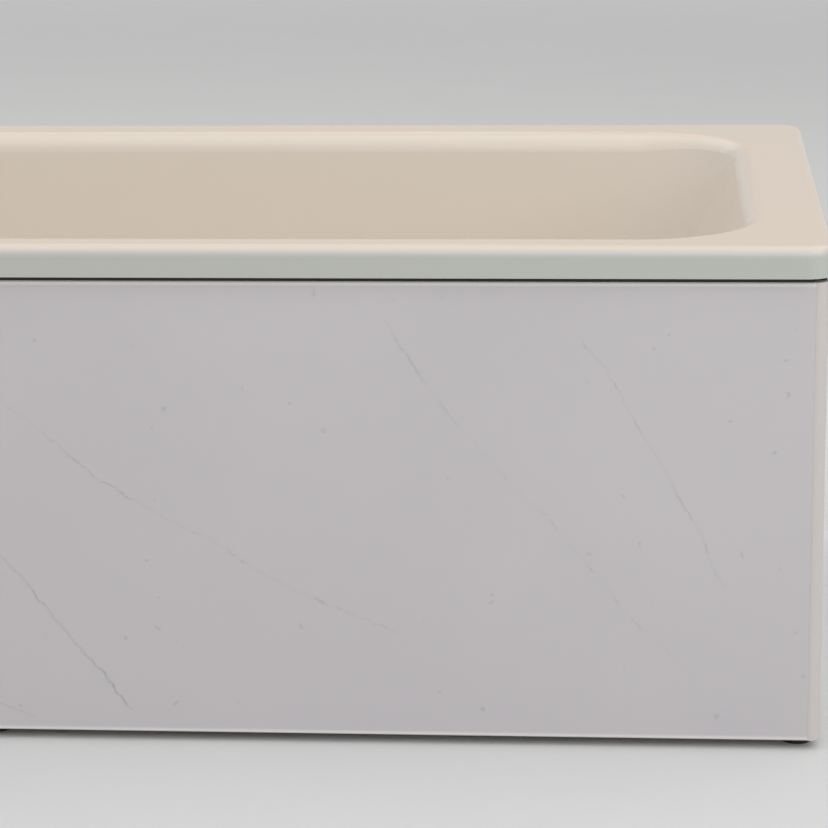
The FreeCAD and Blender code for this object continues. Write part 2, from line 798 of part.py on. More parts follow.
def plug_cap():
    """Domed chrome cap of the pop-up plug."""
    low_z = seat_z + flange_t + touch_gap + plug_seal_t
    profile = [(0, 0), (plug_cap_r - plug_cap_t, 0), (plug_cap_r, plug_cap_t / 2),
               (plug_cap_r - plug_cap_t / 3, plug_cap_t), (plug_cap_r * 2 / 3, plug_cap_t + plug_dome_h * 2 / 3),
               (plug_cap_r / 3, plug_cap_t + plug_dome_h), (0, plug_cap_t + plug_dome_h)]
    return turned(profile, drain_point(low_z))


def plug_seal():
    low_z = seat_z + flange_t + touch_gap
    return pipe(plug_seal_r, plug_seal_r / 2, drain_point(low_z), drain_point(low_z + plug_seal_t))


def plug_stem():
    swing = math.radians(lever_swing_deg / 2)
    lever_top_z = pivot.z - plug_travel / 2 + lever_t / 2 / math.cos(swing) + stem_r * math.tan(swing)
    tip_z = lever_top_z + touch_gap
    cap_z = seat_z + flange_t + touch_gap + plug_seal_t
    collar_z = cap_z - plug_seal_t
    stem = rod(stem_r, drain_point(tip_z), drain_point(cap_z))
    collar = rod(plug_seal_r / 2 - shaft_gap, drain_point(collar_z), drain_point(cap_z))
    return fused([stem, collar])


def lift_lever():
    """Rocker that pushes the stem up, and the crank that the cable pulls, on one axle."""
    arm = block(pivot.x, pivot.x + lever_arm + lever_t / 2, basin_y - lever_w / 2, basin_y + lever_w / 2,
                pivot.z - lever_t / 2, pivot.z + lever_t / 2)
    hub = rod(lever_hub_r, pivot - Vec(0, lever_w / 2, 0), pivot + Vec(0, lever_w / 2, 0))
    end_y = cable_y + lever_w / 2
    axle = rod(lever_axle_r, pivot, Vec(pivot.x, end_y, pivot.z))
    crank_hub = rod(lever_hub_r, Vec(pivot.x, cable_y - lever_w / 2, pivot.z), Vec(pivot.x, end_y, pivot.z))
    crank = block(pivot.x - lever_t / 2, pivot.x + lever_t / 2, cable_y - lever_w / 2, end_y,
                  pivot.z - crank_len, pivot.z)
    lever = fused([arm, hub, axle, crank_hub, crank])
    lever.rotate(pivot, Vec(0, 1, 0), lever_swing_deg / 2)
    return lever


# Places of the trap and the outlet pipe
rise_x = drain_x + trap_turn_r * 2
outlet_z = drain_under_z - outlet_drop
rise_top_z = outlet_z - outlet_turn_r


def quarter_turns(pipe_radius, turn_r, centre, axis, start, degrees):
    """Bent pipe: a circle about start, turned about an axis through centre."""
    way = axis.cross(start - centre)
    disc = Part.Face(Part.Wire(Part.Circle(start, way, pipe_radius).toShape()))
    return disc.revolve(centre, axis, degrees)


def trap_route(radius):
    """U bend below the waste, rising beside it."""
    low = Vec(drain_x + trap_turn_r, basin_y, trap_z)
    down = rod(radius, drain_point(trap_z), drain_point(spigot_z))
    bend = quarter_turns(radius, trap_turn_r, low, Vec(0, -1, 0), drain_point(trap_z), 180)
    up = rod(radius, Vec(rise_x, basin_y, trap_z), Vec(rise_x, basin_y, (trap_z + rise_top_z) / 2))
    return [down, bend, up]


def trap_bend():
    bottom = Vec(drain_x + trap_turn_r, basin_y, trap_z - trap_turn_r)
    port_end = bottom - Vec(0, clean_port_reach, 0)
    body = fused(trap_route(pipe_r) + [rod(clean_port_r, port_end, bottom)])
    for piece in trap_route(pipe_bore_r) + [rod(clean_port_r - wall_of_port, port_end, bottom)]:
        body = body.cut(piece)
    return body


def trap_cleaning_cap():
    start = Vec(drain_x + trap_turn_r, basin_y - clean_port_reach, trap_z - trap_turn_r)
    cap = rod(clean_cap_r, start - Vec(0, wall_of_port, 0), start + Vec(0, clean_cap_t, 0))
    hollow = rod(clean_port_r + touch_gap, start, start + Vec(0, clean_cap_t, 0))
    tab = block(start.x - clean_cap_r * 2 / 3, start.x + clean_cap_r * 2 / 3,
                start.y - wall_of_port * 3, start.y - wall_of_port,
                start.z - wall_of_port, start.z + wall_of_port)
    return fused([cap.cut(hollow), tab])


def outlet_route(radius):
    """Elbow from the rising leg to the wall side."""
    start = Vec(rise_x, basin_y, (trap_z + rise_top_z) / 2)
    turn_start = Vec(rise_x, basin_y, rise_top_z)
    centre = turn_start + Vec(0, outlet_turn_r, 0)
    end_y = half_w - outlet_wall_gap
    return [rod(radius, start, turn_start),
            quarter_turns(radius, outlet_turn_r, centre, Vec(-1, 0, 0), turn_start, 90),
            rod(radius, Vec(rise_x, basin_y + outlet_turn_r, outlet_z), Vec(rise_x, end_y, outlet_z))]


def trap_outlet():
    body = fused(outlet_route(pipe_r))
    for piece in outlet_route(pipe_bore_r):
        body = body.cut(piece)
    return body


def grip_nut(outer_r, inner_r, height, start, way):
    """Round union nut with grip ribs."""
    nut = rod(outer_r, start, start + way * height)
    depth = (outer_r - inner_r) / 3
    first = way.cross(Vec(0, 1, 0))
    for n in range(grip_ribs):
        spoke = FreeCAD.Rotation(way, 360 * n / grip_ribs).multVec(first) * (outer_r + depth / 2)
        nut = nut.cut(rod(depth, start + spoke - way * over, start + spoke + way * (height + over)))
    return nut.cut(rod(inner_r, start - way * over, start + way * (height + over)))


def trap_nuts():
    """Union nuts on the two legs of the trap."""
    up = Vec(0, 0, 1)
    places = [drain_point(spigot_z - union_nut_h / 2),
              Vec(rise_x, basin_y, (trap_z + rise_top_z) / 2 - union_nut_h / 2)]
    return [grip_nut(union_nut_r, pipe_r + fit_gap, union_nut_h, place, up) for place in places]


# Depths behind the foot wall, measured along its inward normal
gasket_back = -sheet_t - gasket_t
flange_back = gasket_back - elbow_flange_t
cup_back = gasket_back - elbow_cup_len
drum_back = cup_back + elbow_wall + drum_back_gap
hose_axis_depth = (flange_back + cup_back) / 2
hose_x = at_wall(0, 0, hose_axis_depth).x
hose_top_z = at_wall(0, 0, 0).z - hose_start_drop
hose_end_x = drain_x - waste_cup_r - hose_waste_gap


def overflow_cover():
    """Round faceplate with slots, screwed to the elbow through the wall."""
    cover = Part.makeCylinder(cover_r, cover_t)
    rim = [edge for edge in cover.Edges if edge.BoundBox.ZMin > cover_t / 2]
    cover = cover.makeFillet(cover_t / 3, rim)
    window = Part.makeCylinder(cover_slot_out_r, cover_t + over).cut(
        Part.makeCylinder(cover_slot_in_r, cover_t + over))
    for n in range(cover_slots):
        web = block(0, cover_r, -cover_web / 2, cover_web / 2, 0, cover_t + over)
        web.rotate(Vec(0, 0, 0), Vec(0, 0, 1), (n + 0.5) * 360 / cover_slots)
        window = window.cut(web)
    for side in (-1, 1):
        post = Part.makeCylinder(screw_boss_r, cover_t + over, Vec(0, side * cover_screw_y, 0))
        window = window.cut(post)
    cover = cover.cut(window)
    cover = cover.cut(Part.makeCylinder(spindle_r + shaft_gap, cover_t + over, Vec(0, 0, -over / 2)))
    for side in (-1, 1):
        place = Vec(0, side * cover_screw_y, 0)
        cover = cover.cut(Part.makeCylinder(cover_screw_r + shaft_gap, cover_t + over, place))
        head = Part.makeCylinder(cover_screw_head_r + shaft_gap, cover_t,
                                 place + Vec(0, 0, cover_t - cover_screw_head_t))
        cover = cover.cut(head)
    return on_wall(cover, touch_gap)


def overflow_knob():
    """Rotary cap with a finger bar."""
    disc = Part.makeCylinder(knob_r, knob_t)
    rim = [edge for edge in disc.Edges if edge.BoundBox.ZMin > knob_t / 2]
    disc = disc.makeFillet(knob_edge_r, rim)
    grip = block(-grip_len / 2, grip_len / 2, -grip_w / 2, grip_w / 2, 0, knob_t + grip_h)
    grip_edges = [edge for edge in grip.Edges if edge.BoundBox.ZMax > knob_t]
    grip = grip.makeFillet(grip_round, grip_edges)
    knob = fused([disc, grip])
    knob = knob.cut(Part.makeCylinder(spindle_r + shaft_gap, knob_t / 2))
    return on_wall(knob, cover_t + knob_gap)


def knob_spindle():
    """Spindle with the drum that winds the cable, resting in the elbow's back wall."""
    front = cover_t + knob_gap + knob_t / 2
    start = cup_back + elbow_wall + touch_gap
    shaft = Part.makeCylinder(spindle_r, front - start)
    drum = Part.makeCylinder(drum_r, drum_t, Vec(0, 0, drum_back - start))
    return on_wall(fused([shaft, drum]), start)


def overflow_gasket():
    ring = Part.makeCylinder(elbow_flange_r - seal_t, gasket_t).cut(
        Part.makeCylinder(overflow_hole_r, gasket_t))
    return on_wall(ring, gasket_back)


def overflow_elbow():
    """Plastic cup behind the foot wall with a spigot for the hose and a cable port."""
    flange = Part.makeCylinder(elbow_flange_r, elbow_flange_t, Vec(0, 0, flange_back - cup_back))
    cup = Part.makeCylinder(elbow_cup_r, gasket_back - cup_back)
    inner_r = elbow_cup_r - elbow_wall
    hollow = Part.makeCylinder(inner_r, gasket_back - cup_back, Vec(0, 0, elbow_wall))
    shell = on_wall(fused([flange, cup]), cup_back)
    hollow = on_wall(hollow, cup_back)
    axis = at_wall(0, 0, hose_axis_depth)
    spigot_end = Vec(hose_x, basin_y, hose_top_z - spigot_len)
    spigot_r = hose_bore_r - touch_gap
    spigot = rod(spigot_r, spigot_end, axis)
    bore = rod(spigot_r - spigot_wall, spigot_end - Vec(0, 0, over), axis)
    cable_top_z = axis.z - cable_start_drop
    cable_box = block(hose_x - cable_box_w / 2, hose_x + cable_box_w / 2, basin_y, cable_y + cable_box_w / 2,
                      cable_top_z, cable_top_z + cable_box_h)
    body = fused([shell, spigot, cable_box]).cut(hollow).cut(bore)
    bosses = []
    for side in (-1, 1):
        boss = Part.makeCylinder(screw_boss_r, -sheet_t - cup_back, Vec(0, side * cover_screw_y, 0))
        bosses.append(on_wall(boss, cup_back))
    body = fused([body] + bosses)
    for side in (-1, 1):
        pilot = Part.makeCylinder(cover_screw_r + shaft_gap, cover_screw_bite + over,
                                  Vec(0, side * cover_screw_y, 0))
        body = body.cut(on_wall(pilot, -sheet_t - cover_screw_bite))
    return body


def overflow_screws():
    screws = []
    length = touch_gap + cover_t + sheet_t + cover_screw_bite - cover_screw_head_t
    for side in (-1, 1):
        shank = Part.makeCylinder(cover_screw_r, length, Vec(0, side * cover_screw_y, 0))
        head = Part.makeCylinder(cover_screw_head_r, cover_screw_head_t,
                                 Vec(0, side * cover_screw_y, length))
        screws.append(on_wall(fused([shank, head]), -sheet_t - cover_screw_bite))
    return screws


# The hose runs down behind the foot wall, round one bend and along to the waste
hose_bend_centre = Vec(hose_x + hose_turn_r, basin_y, port_z + hose_turn_r)
hose_drop = hose_top_z - hose_bend_centre.z
hose_sweep = hose_turn_r * math.pi / 2
hose_run = hose_end_x - hose_bend_centre.x
hose_length = hose_drop + hose_sweep + hose_run


def hose_station(distance):
    """Point and direction on the hose's middle line."""
    if distance < hose_drop:
        return Vec(hose_x, basin_y, hose_top_z - distance), Vec(0, 0, -1)
    if distance > hose_drop + hose_sweep:
        return Vec(hose_end_x - (hose_length - distance), basin_y, port_z), Vec(1, 0, 0)
    angle = (distance - hose_drop) / hose_turn_r
    spoke = Vec(-math.cos(angle), 0, -math.sin(angle))
    return hose_bend_centre + spoke * hose_turn_r, Vec(math.sin(angle), 0, -math.cos(angle))


def hose_circle(distance, radius):
    """Circle square to the hose, its first axis steady along the tub's width."""
    place, way = hose_station(distance)
    circle = Part.Circle(Vec(0, 0, 0), Vec(0, 0, 1), radius)
    wire = Part.Wire(circle.toShape())
    side = Vec(0, 1, 0)
    wire.Placement = FreeCAD.Placement(place, FreeCAD.Rotation(side, way.cross(side), way, "XZY"))
    return wire


def overflow_hose():
    """Ribbed hose: a ruled loft through four circles a rib, with its bore."""
    ribbed = hose_length - hose_cuff_len * 2
    ribs = max(1, round(ribbed / hose_rib_pitch))
    pitch = ribbed / ribs
    wires = [hose_circle(0, hose_valley_r)]
    for n in range(ribs):
        start = hose_cuff_len + n * pitch
        for place_share, on_crest in zip(rib_place_shares, rib_on_crest):
            radius = hose_crest_r if on_crest else hose_valley_r
            wires.append(hose_circle(start + place_share * pitch, radius))
    wires.append(hose_circle(hose_length, hose_valley_r))
    body = Part.makeLoft(wires, True, True)
    bend_start = Vec(hose_x, basin_y, hose_bend_centre.z)
    bore = fused([rod(hose_bore_r, bend_start, Vec(hose_x, basin_y, hose_top_z)),
                  quarter_turns(hose_bore_r, hose_turn_r, hose_bend_centre, Vec(0, -1, 0), bend_start, 90),
                  rod(hose_bore_r, Vec(hose_bend_centre.x, basin_y, port_z),
                      Vec(hose_end_x, basin_y, port_z))])
    return body.cut(bore)


def hose_nuts():
    """Grip nuts that clamp the hose's cuffs on the two spigots."""
    inner_r = hose_valley_r + fit_gap
    return [grip_nut(hose_nut_r, inner_r, hose_nut_h, Vec(hose_x, basin_y, hose_top_z - hose_nut_h),
                     Vec(0, 0, 1)),
            grip_nut(hose_nut_r, inner_r, hose_nut_h, Vec(hose_end_x - hose_nut_h, basin_y, port_z),
                     Vec(1, 0, 0))]


def bowden_cable():
    """Cable from the overflow's drum to the lever box, in a plane beside the hose."""
    top = Vec(hose_x, cable_y, at_wall(0, 0, hose_axis_depth).z - cable_start_drop)
    low_z = pivot.z - crank_len
    centre = Vec(hose_x + cable_turn_r, cable_y, low_z + cable_turn_r)
    bend_start = Vec(hose_x, cable_y, centre.z)
    bend_end = Vec(centre.x, cable_y, low_z)
    end = Vec(pivot.x - lever_box_l / 2, cable_y, low_z)
    print("cable length", round((top - bend_start).Length + cable_turn_r * math.pi / 2
                                + (end - bend_end).Length, 1), "bend radius", cable_turn_r)
    return fused([rod(cable_r, bend_start, top),
                  quarter_turns(cable_r, cable_turn_r, centre, Vec(0, -1, 0), bend_start, 90),
                  rod(cable_r, bend_end, end)])


def cable_clips():
    """Clips that hold the cable beside the hose."""
    clips = []
    for place_share in clip_place_shares:
        low = Vec(hose_x, basin_y, hose_top_z - place_share * hose_drop)
        high = low + Vec(0, 0, clip_w)
        beside = Vec(0, cable_offset, 0)
        hose_r = hose_crest_r + touch_gap
        hold_r = cable_r + shaft_gap
        bridge = block(hose_x - clip_t, hose_x + clip_t, basin_y + hose_r, cable_y, low.z, high.z)
        body = fused([rod(hose_r + clip_t, low, high), rod(hold_r + clip_t, low + beside, high + beside),
                      bridge])
        body = body.cut(rod(hose_r, low, high)).cut(rod(hold_r, low + beside, high + beside))
        clips.append(body)
    return clips


def earth_tag():
    y0 = half_w - tag_rim_inset - tag_t
    tag = block(tag_x - tag_w / 2, tag_x + tag_w / 2, y0, y0 + tag_t, rim_under_z - tag_h, rim_under_z)
    centre = Vec(tag_x, y0 - over, rim_under_z - tag_h / 2)
    return tag.cut(rod(tag_screw_r + shaft_gap, centre, centre + Vec(0, over * 2, 0)))


def earth_screw():
    """Screw with a nut on each side of the earth tag."""
    y0 = half_w - tag_rim_inset - tag_t
    middle = Vec(tag_x, y0 + tag_t / 2, rim_under_z - tag_h / 2)
    way = Vec(0, 1, 0)
    start = middle - way * (tag_t / 2 + tag_nut_h)
    shank = rod(tag_screw_r, start, start + way * tag_screw_len)
    head = hexagon(tag_nut_flats, tag_nut_h, start, way)
    nut = drilled_nut(tag_nut_flats, tag_nut_h, tag_screw_r + shaft_gap, middle + way * (tag_t / 2), way)
    return [fused([shank, head]), nut]


os.makedirs("parts", exist_ok=True)
blank = tub_blank()
save("tub_shell", [tub_shell(blank)])
save("deadening_mats", deadening_mats(blank))
save("leg_frame_foot", [leg_frame(-leg_x)])
save("leg_frame_head", [leg_frame(leg_x)])
save("saddle_pads", saddle_pads(blank))
save("foot_rods", foot_rods())
save("foot_nuts", foot_nuts())
save("foot_pads", foot_pads())
save("wall_bracket_foot", [wall_bracket(-bracket_x)])
save("wall_bracket_head", [wall_bracket(bracket_x)])
save("front_panel", [front_panel()])
save("front_bead", [front_bead()])
save("end_beads", end_beads())
save("front_stiffeners", front_stiffeners())
save("catch_plates", catch_plates())
save("magnet_catches", magnet_catches())
save("panel_ledges", panel_ledges())
for end_name, end_side in (("right", 1), ("left", -1)):
    save("corner_trim_" + end_name, [corner_trim(end_side)])
    save("end_panel_" + end_name, [end_panel(end_side)])
    save("front_post_" + end_name, [corner_post(end_side, frame_y)])
    save("back_post_" + end_name, [corner_post(end_side, back_post_y - tube_w)])
    save("end_rail_low_" + end_name, [end_rail(end_side, bottom_rail_z)])
    save("end_rail_high_" + end_name, [end_rail(end_side, top_rail_z)])
save("front_rail_low", [front_rail(bottom_rail_z)])
save("front_rail_high", [front_rail(top_rail_z)])
save("centre_post", [centre_post()])
save("frame_feet", frame_feet())
save("rim_pads", rim_pads())
save("panel_screws", panel_screws())
save("waste_flange", [waste_flange()])
save("flange_seal", [flange_seal()])
save("waste_gasket", [waste_gasket()])
save("waste_body", [waste_body()])
save("plug_cap", [plug_cap()])
save("plug_seal", [plug_seal()])
save("plug_stem", [plug_stem()])
save("lift_lever", [lift_lever()])
save("trap_nuts", trap_nuts())
save("trap_bend", [trap_bend()])
save("trap_cleaning_cap", [trap_cleaning_cap()])
save("trap_outlet", [trap_outlet()])
save("overflow_cover", [overflow_cover()])
save("overflow_knob", [overflow_knob()])
save("knob_spindle", [knob_spindle()])
save("overflow_gasket", [overflow_gasket()])
save("overflow_elbow", [overflow_elbow()])
save("overflow_screws", overflow_screws())
save("overflow_hose", [overflow_hose()])
save("hose_nuts", hose_nuts())
save("bowden_cable", [bowden_cable()])
save("cable_clips", cable_clips())
save("earth_tag", [earth_tag()])
save("earth_screw", earth_screw())
print("drain", drain_point(drain_z), "pivot", pivot, "lever arm", lever_arm)
print("knob axis at", at_wall(0, 0, 0), "outlet", rise_x, basin_y, outlet_z, "hose length", hose_length)
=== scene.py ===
import json
import math

import bpy
from mathutils import Matrix, Vector


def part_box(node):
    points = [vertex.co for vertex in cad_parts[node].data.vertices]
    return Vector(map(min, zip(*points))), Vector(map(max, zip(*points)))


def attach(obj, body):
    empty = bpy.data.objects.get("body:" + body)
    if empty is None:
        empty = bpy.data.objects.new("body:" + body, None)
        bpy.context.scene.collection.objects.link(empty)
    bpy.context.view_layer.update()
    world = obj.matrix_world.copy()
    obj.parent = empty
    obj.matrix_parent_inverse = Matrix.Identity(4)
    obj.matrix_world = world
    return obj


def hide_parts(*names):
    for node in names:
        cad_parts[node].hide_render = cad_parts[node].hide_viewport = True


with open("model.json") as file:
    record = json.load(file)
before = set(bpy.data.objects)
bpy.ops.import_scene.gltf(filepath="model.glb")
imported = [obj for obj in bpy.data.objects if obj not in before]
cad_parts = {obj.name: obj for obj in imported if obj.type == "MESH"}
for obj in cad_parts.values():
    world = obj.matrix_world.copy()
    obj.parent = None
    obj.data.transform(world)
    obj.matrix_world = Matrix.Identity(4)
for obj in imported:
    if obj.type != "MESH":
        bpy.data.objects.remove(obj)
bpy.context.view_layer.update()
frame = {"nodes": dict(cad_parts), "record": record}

# Panelled bathtub in metres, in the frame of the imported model: the origin is on the floor under
# the middle of the tub, +X is the head end, -Y the panelled front, +Y the wall side, +Z up.

# Corners of the rim and of the front panel, taken from the frame
rim_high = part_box("tub_shell")[1]
panel_low, panel_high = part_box("front_panel")

# Colours, linear
CREAM = (0.712, 0.594, 0.487)
CREAM_DEEP = (0.697, 0.576, 0.47)
# painted light: a lighter, paler cream for the steep inner walls of the basin
WALL_CREAM_PAINTED_LIGHT = (0.742, 0.668, 0.588)
# painted shade: a darker, cooler colour for the skirt's steep faces
SKIRT_PAINTED_SHADE = (0.603, 0.623, 0.59)
GROUND_COAT = (0.055, 0.062, 0.07)
GROUND_SPECK = (0.22, 0.24, 0.26)
MARBLE = (0.695, 0.67, 0.712)
MARBLE_CLOUD = (0.675, 0.651, 0.693)
# painted highlight: a whiter colour along the board's upper and lower edges
MARBLE_EDGE_PAINTED_HIGHLIGHT = (0.89, 0.87, 0.88)
VEIN = (0.26, 0.25, 0.25)
BOARD_BACK = (0.50, 0.48, 0.45)
BOARD_BACK_DARK = (0.42, 0.40, 0.37)
TRIM = (0.727, 0.682, 0.665)
TRIM_DEEP = (0.70, 0.658, 0.642)
ZINC = (0.50, 0.52, 0.54)
ZINC_DARK = (0.36, 0.38, 0.40)
ALLOY = (0.62, 0.63, 0.64)
ALLOY_DARK = (0.50, 0.51, 0.52)
RUBBER = (0.030, 0.030, 0.031)
RUBBER_DUST = (0.055, 0.053, 0.05)
BLACK = (0.018, 0.018, 0.019)
BLACK_WORN = (0.035, 0.035, 0.036)
WHITE = (0.66, 0.66, 0.64)
WHITE_DEEP = (0.60, 0.60, 0.575)
CHROME = (0.62, 0.63, 0.645)
CHROME_SMEAR = (0.56, 0.57, 0.585)
BRASS = (0.60, 0.43, 0.17)
BRASS_DARK = (0.42, 0.29, 0.11)
BITUMEN = (0.016, 0.015, 0.015)
BITUMEN_GREY = (0.045, 0.044, 0.042)
FIBRE = (0.36, 0.25, 0.145)
FIBRE_DARK = (0.24, 0.16, 0.09)

# Enamel: the rounding of the rim's outline and of its front edge, how far inside that rounding the
# skirt's painted shade may start, the height above the rim of the point that every inner face looks
# at, the glaze's specular level, and how much rougher the ground coat is
RIM_CORNER_R = 0.028
RIM_EDGE_R = 0.011
RIM_EDGE_MARGIN = 0.002
MIDDLE_ABOVE_RIM = 0.045
GLAZE_SPECULAR = 0.4
GROUND_COAT_ROUGHER = 0.2

# Board: width of the painted highlight along the upper and lower edges and the share of it at full
# strength, the smear that makes round specks uneven, and the strengths of specks and of all marks
EDGE_HIGHLIGHT_WIDTH = 0.0055
EDGE_HIGHLIGHT_FULL = 0.4
SPECK_SMEAR = (0.012, 0.012, 0.012)
SPECK_STRENGTH = 0.8
MARK_STRENGTH = 0.26

# Veins of the front board: start, end (x, z in metres), how far the middle bows to the left of
# the way from start to end, strength, and how unbroken the line is
FRONT_VEINS = (
    ((0.599, 0.433), (0.751, 0.160), 0.006, 0.9, 0.15),
    ((0.404, 0.451), (0.727, 0.066), -0.012, 0.7, 0.0),
    ((0.010, 0.372), (0.430, 0.112), -0.020, 1.0, 0.1),
    ((-0.060, 0.290), (0.162, 0.026), 0.004, 1.3, 0.4),
    ((-0.190, 0.150), (0.058, 0.019), -0.006, 1.2, 0.4),
    ((-0.700, 0.470), (-0.420, 0.060), 0.012, 1.0, 0.2),
    ((-0.480, 0.455), (-0.150, 0.210), -0.014, 0.9, 0.0),
    ((-0.830, 0.300), (-0.560, 0.012), -0.010, 1.0, 0.1),
    ((-0.360, 0.300), (-0.230, 0.090), 0.006, 0.8, 0.0),
)
# Veins of the end boards, the same with y in place of x
END_VEINS = (
    ((-0.330, 0.440), (-0.020, 0.060), 0.010, 1.0, 0.1),
    ((-0.100, 0.470), (0.240, 0.140), -0.014, 0.9, 0.1),
    ((0.120, 0.440), (0.340, 0.250), 0.008, 0.9, 0.0),
    ((-0.340, 0.190), (-0.180, 0.015), -0.006, 1.0, 0.2),
)
# Lines and halos in metres from the vein's middle, how far the noises push it aside, the shares
# of its length at which it is full and starts to fade, and the factor that makes
# along * (1 - along) reach 1 halfway
VEIN_HALF_WIDTH = 0.0007
VEIN_HALO = 0.004
VEIN_HALO_STRENGTH = 0.10
VEIN_WANDER = 0.030
VEIN_JITTER = 0.008
VEIN_FULL = 0.08
VEIN_FADES = 0.9
BOW_SCALE = 4.0

# Grain directions, as scales of the noise along x, y and z
TRIM_LINES = (320.0, 320.0, 6.0)
FIBRE_LINES = (160.0, 160.0, 60.0)
DIE_LINES_ACROSS = 900.0
DIE_LINES_ALONG = 4.0

# How much the zinc crystals and the dull patches darken the galvanised steel
CRYSTAL_SHARE = 0.6
DULL_SHARE = 0.4

# Nearly all values of a noise lie between the first two, around the third
NOISE_LOW, NOISE_HIGH = 0.3, 0.7
NOISE_MIDDLE = 0.5
# A height that no point of the object reaches
ABOVE_ALL = 10.0


class Finish:
    """One material's node tree, with short calls for the nodes that the finishes share."""

    def __init__(self, name, colour, roughness, metallic=0.0):
        self.material = bpy.data.materials.new(name)
        self.material.use_nodes = True
        self.nodes = self.material.node_tree.nodes
        self.links = self.material.node_tree.links
        self.shader = self.nodes["Principled BSDF"]
        self.shader.inputs["Base Color"].default_value = (*colour, 1)
        self.shader.inputs["Roughness"].default_value = roughness
        self.shader.inputs["Metallic"].default_value = metallic
        coordinates = self.nodes.new("ShaderNodeTexCoord")
        self.place = coordinates.outputs["Object"]
        geometry = self.nodes.new("ShaderNodeNewGeometry")
        self.facing = geometry.outputs["True Normal"]
        self.smooth_facing = geometry.outputs["Normal"]

    def feed(self, socket, value):
        """Link an output to a socket, or set the socket to a number or vector."""
        if isinstance(value, bpy.types.NodeSocket):
            self.links.new(value, socket)
        elif value is not None:
            socket.default_value = value

    def calc(self, operation, first, second=None, third=None, clamp=False):
        node = self.nodes.new("ShaderNodeMath")
        node.operation = operation
        node.use_clamp = clamp
        for socket, value in zip(node.inputs, (first, second, third)):
            self.feed(socket, value)
        return node.outputs[0]

    def vector(self, operation, first, second=None, third=None, output="Vector"):
        node = self.nodes.new("ShaderNodeVectorMath")
        node.operation = operation
        for socket, value in zip(node.inputs, (first, second, third)):
            self.feed(socket, value)
        return node.outputs[output]

    def outline_distance(self, inner_x, inner_y):
        """Distance in plan from a rectangle round the origin, 0 inside it."""
        mirrored = self.vector("ABSOLUTE", self.place)
        past = self.vector("SUBTRACT", mirrored, (inner_x, inner_y, ABOVE_ALL))
        past = self.vector("MAXIMUM", past, (0.0, 0.0, 0.0))
        return self.vector("LENGTH", past, output="Value")

    def stretched(self, factors):
        return self.vector("MULTIPLY", self.place, factors)

    def axis(self, vector, letter):
        node = self.nodes.new("ShaderNodeSeparateXYZ")
        self.feed(node.inputs[0], vector)
        return node.outputs[letter]

    def noise(self, scale, detail=3.0, roughness=0.5, place=None):
        node = self.nodes.new("ShaderNodeTexNoise")
        self.feed(node.inputs["Vector"], place or self.place)
        node.inputs["Scale"].default_value = scale
        node.inputs["Detail"].default_value = detail
        node.inputs["Roughness"].default_value = roughness
        return node.outputs["Fac"]

    def noise_colour(self, scale):
        node = self.nodes.new("ShaderNodeTexNoise")
        self.feed(node.inputs["Vector"], self.place)
        node.inputs["Scale"].default_value = scale
        return node.outputs["Color"]

    def cells(self, scale, output="Distance", place=None):
        node = self.nodes.new("ShaderNodeTexVoronoi")
        self.feed(node.inputs["Vector"], place or self.place)
        node.inputs["Scale"].default_value = scale
        return node.outputs[output]

    def ramp(self, value, low, high, to_low=0.0, to_high=1.0):
        """Smooth step of a value between low and high."""
        node = self.nodes.new("ShaderNodeMapRange")
        node.interpolation_type = "SMOOTHSTEP"
        node.inputs["From Min"].default_value = low
        node.inputs["From Max"].default_value = high
        node.inputs["To Min"].default_value = to_low
        node.inputs["To Max"].default_value = to_high
        self.feed(node.inputs["Value"], value)
        return node.outputs["Result"]

    def blend(self, factor, first, second):
        node = self.nodes.new("ShaderNodeMix")
        node.data_type = "RGBA"
        self.feed(node.inputs["Factor"], factor)
        for socket, colour in ((node.inputs["A"], first), (node.inputs["B"], second)):
            self.feed(socket, (*colour, 1) if isinstance(colour, tuple) else colour)
        return node.outputs["Result"]

    def paint(self, colour):
        self.feed(self.shader.inputs["Base Color"], colour)

    def gloss(self, value, least, most, low=NOISE_LOW, high=NOISE_HIGH):
        """Roughness from least to most while a value goes from low to high."""
        self.feed(self.shader.inputs["Roughness"], self.ramp(value, low, high, least, most))

    def mask_gloss(self, mask, least, most):
        """Roughness from least to most while a mask goes from 0 to 1."""
        self.gloss(mask, least, most, low=0.0, high=1.0)

    def relief(self, height, distance, strength):
        node = self.nodes.new("ShaderNodeBump")
        node.inputs["Strength"].default_value = strength
        node.inputs["Distance"].default_value = distance
        self.feed(node.inputs["Height"], height)
        self.feed(self.shader.inputs["Normal"], node.outputs["Normal"])


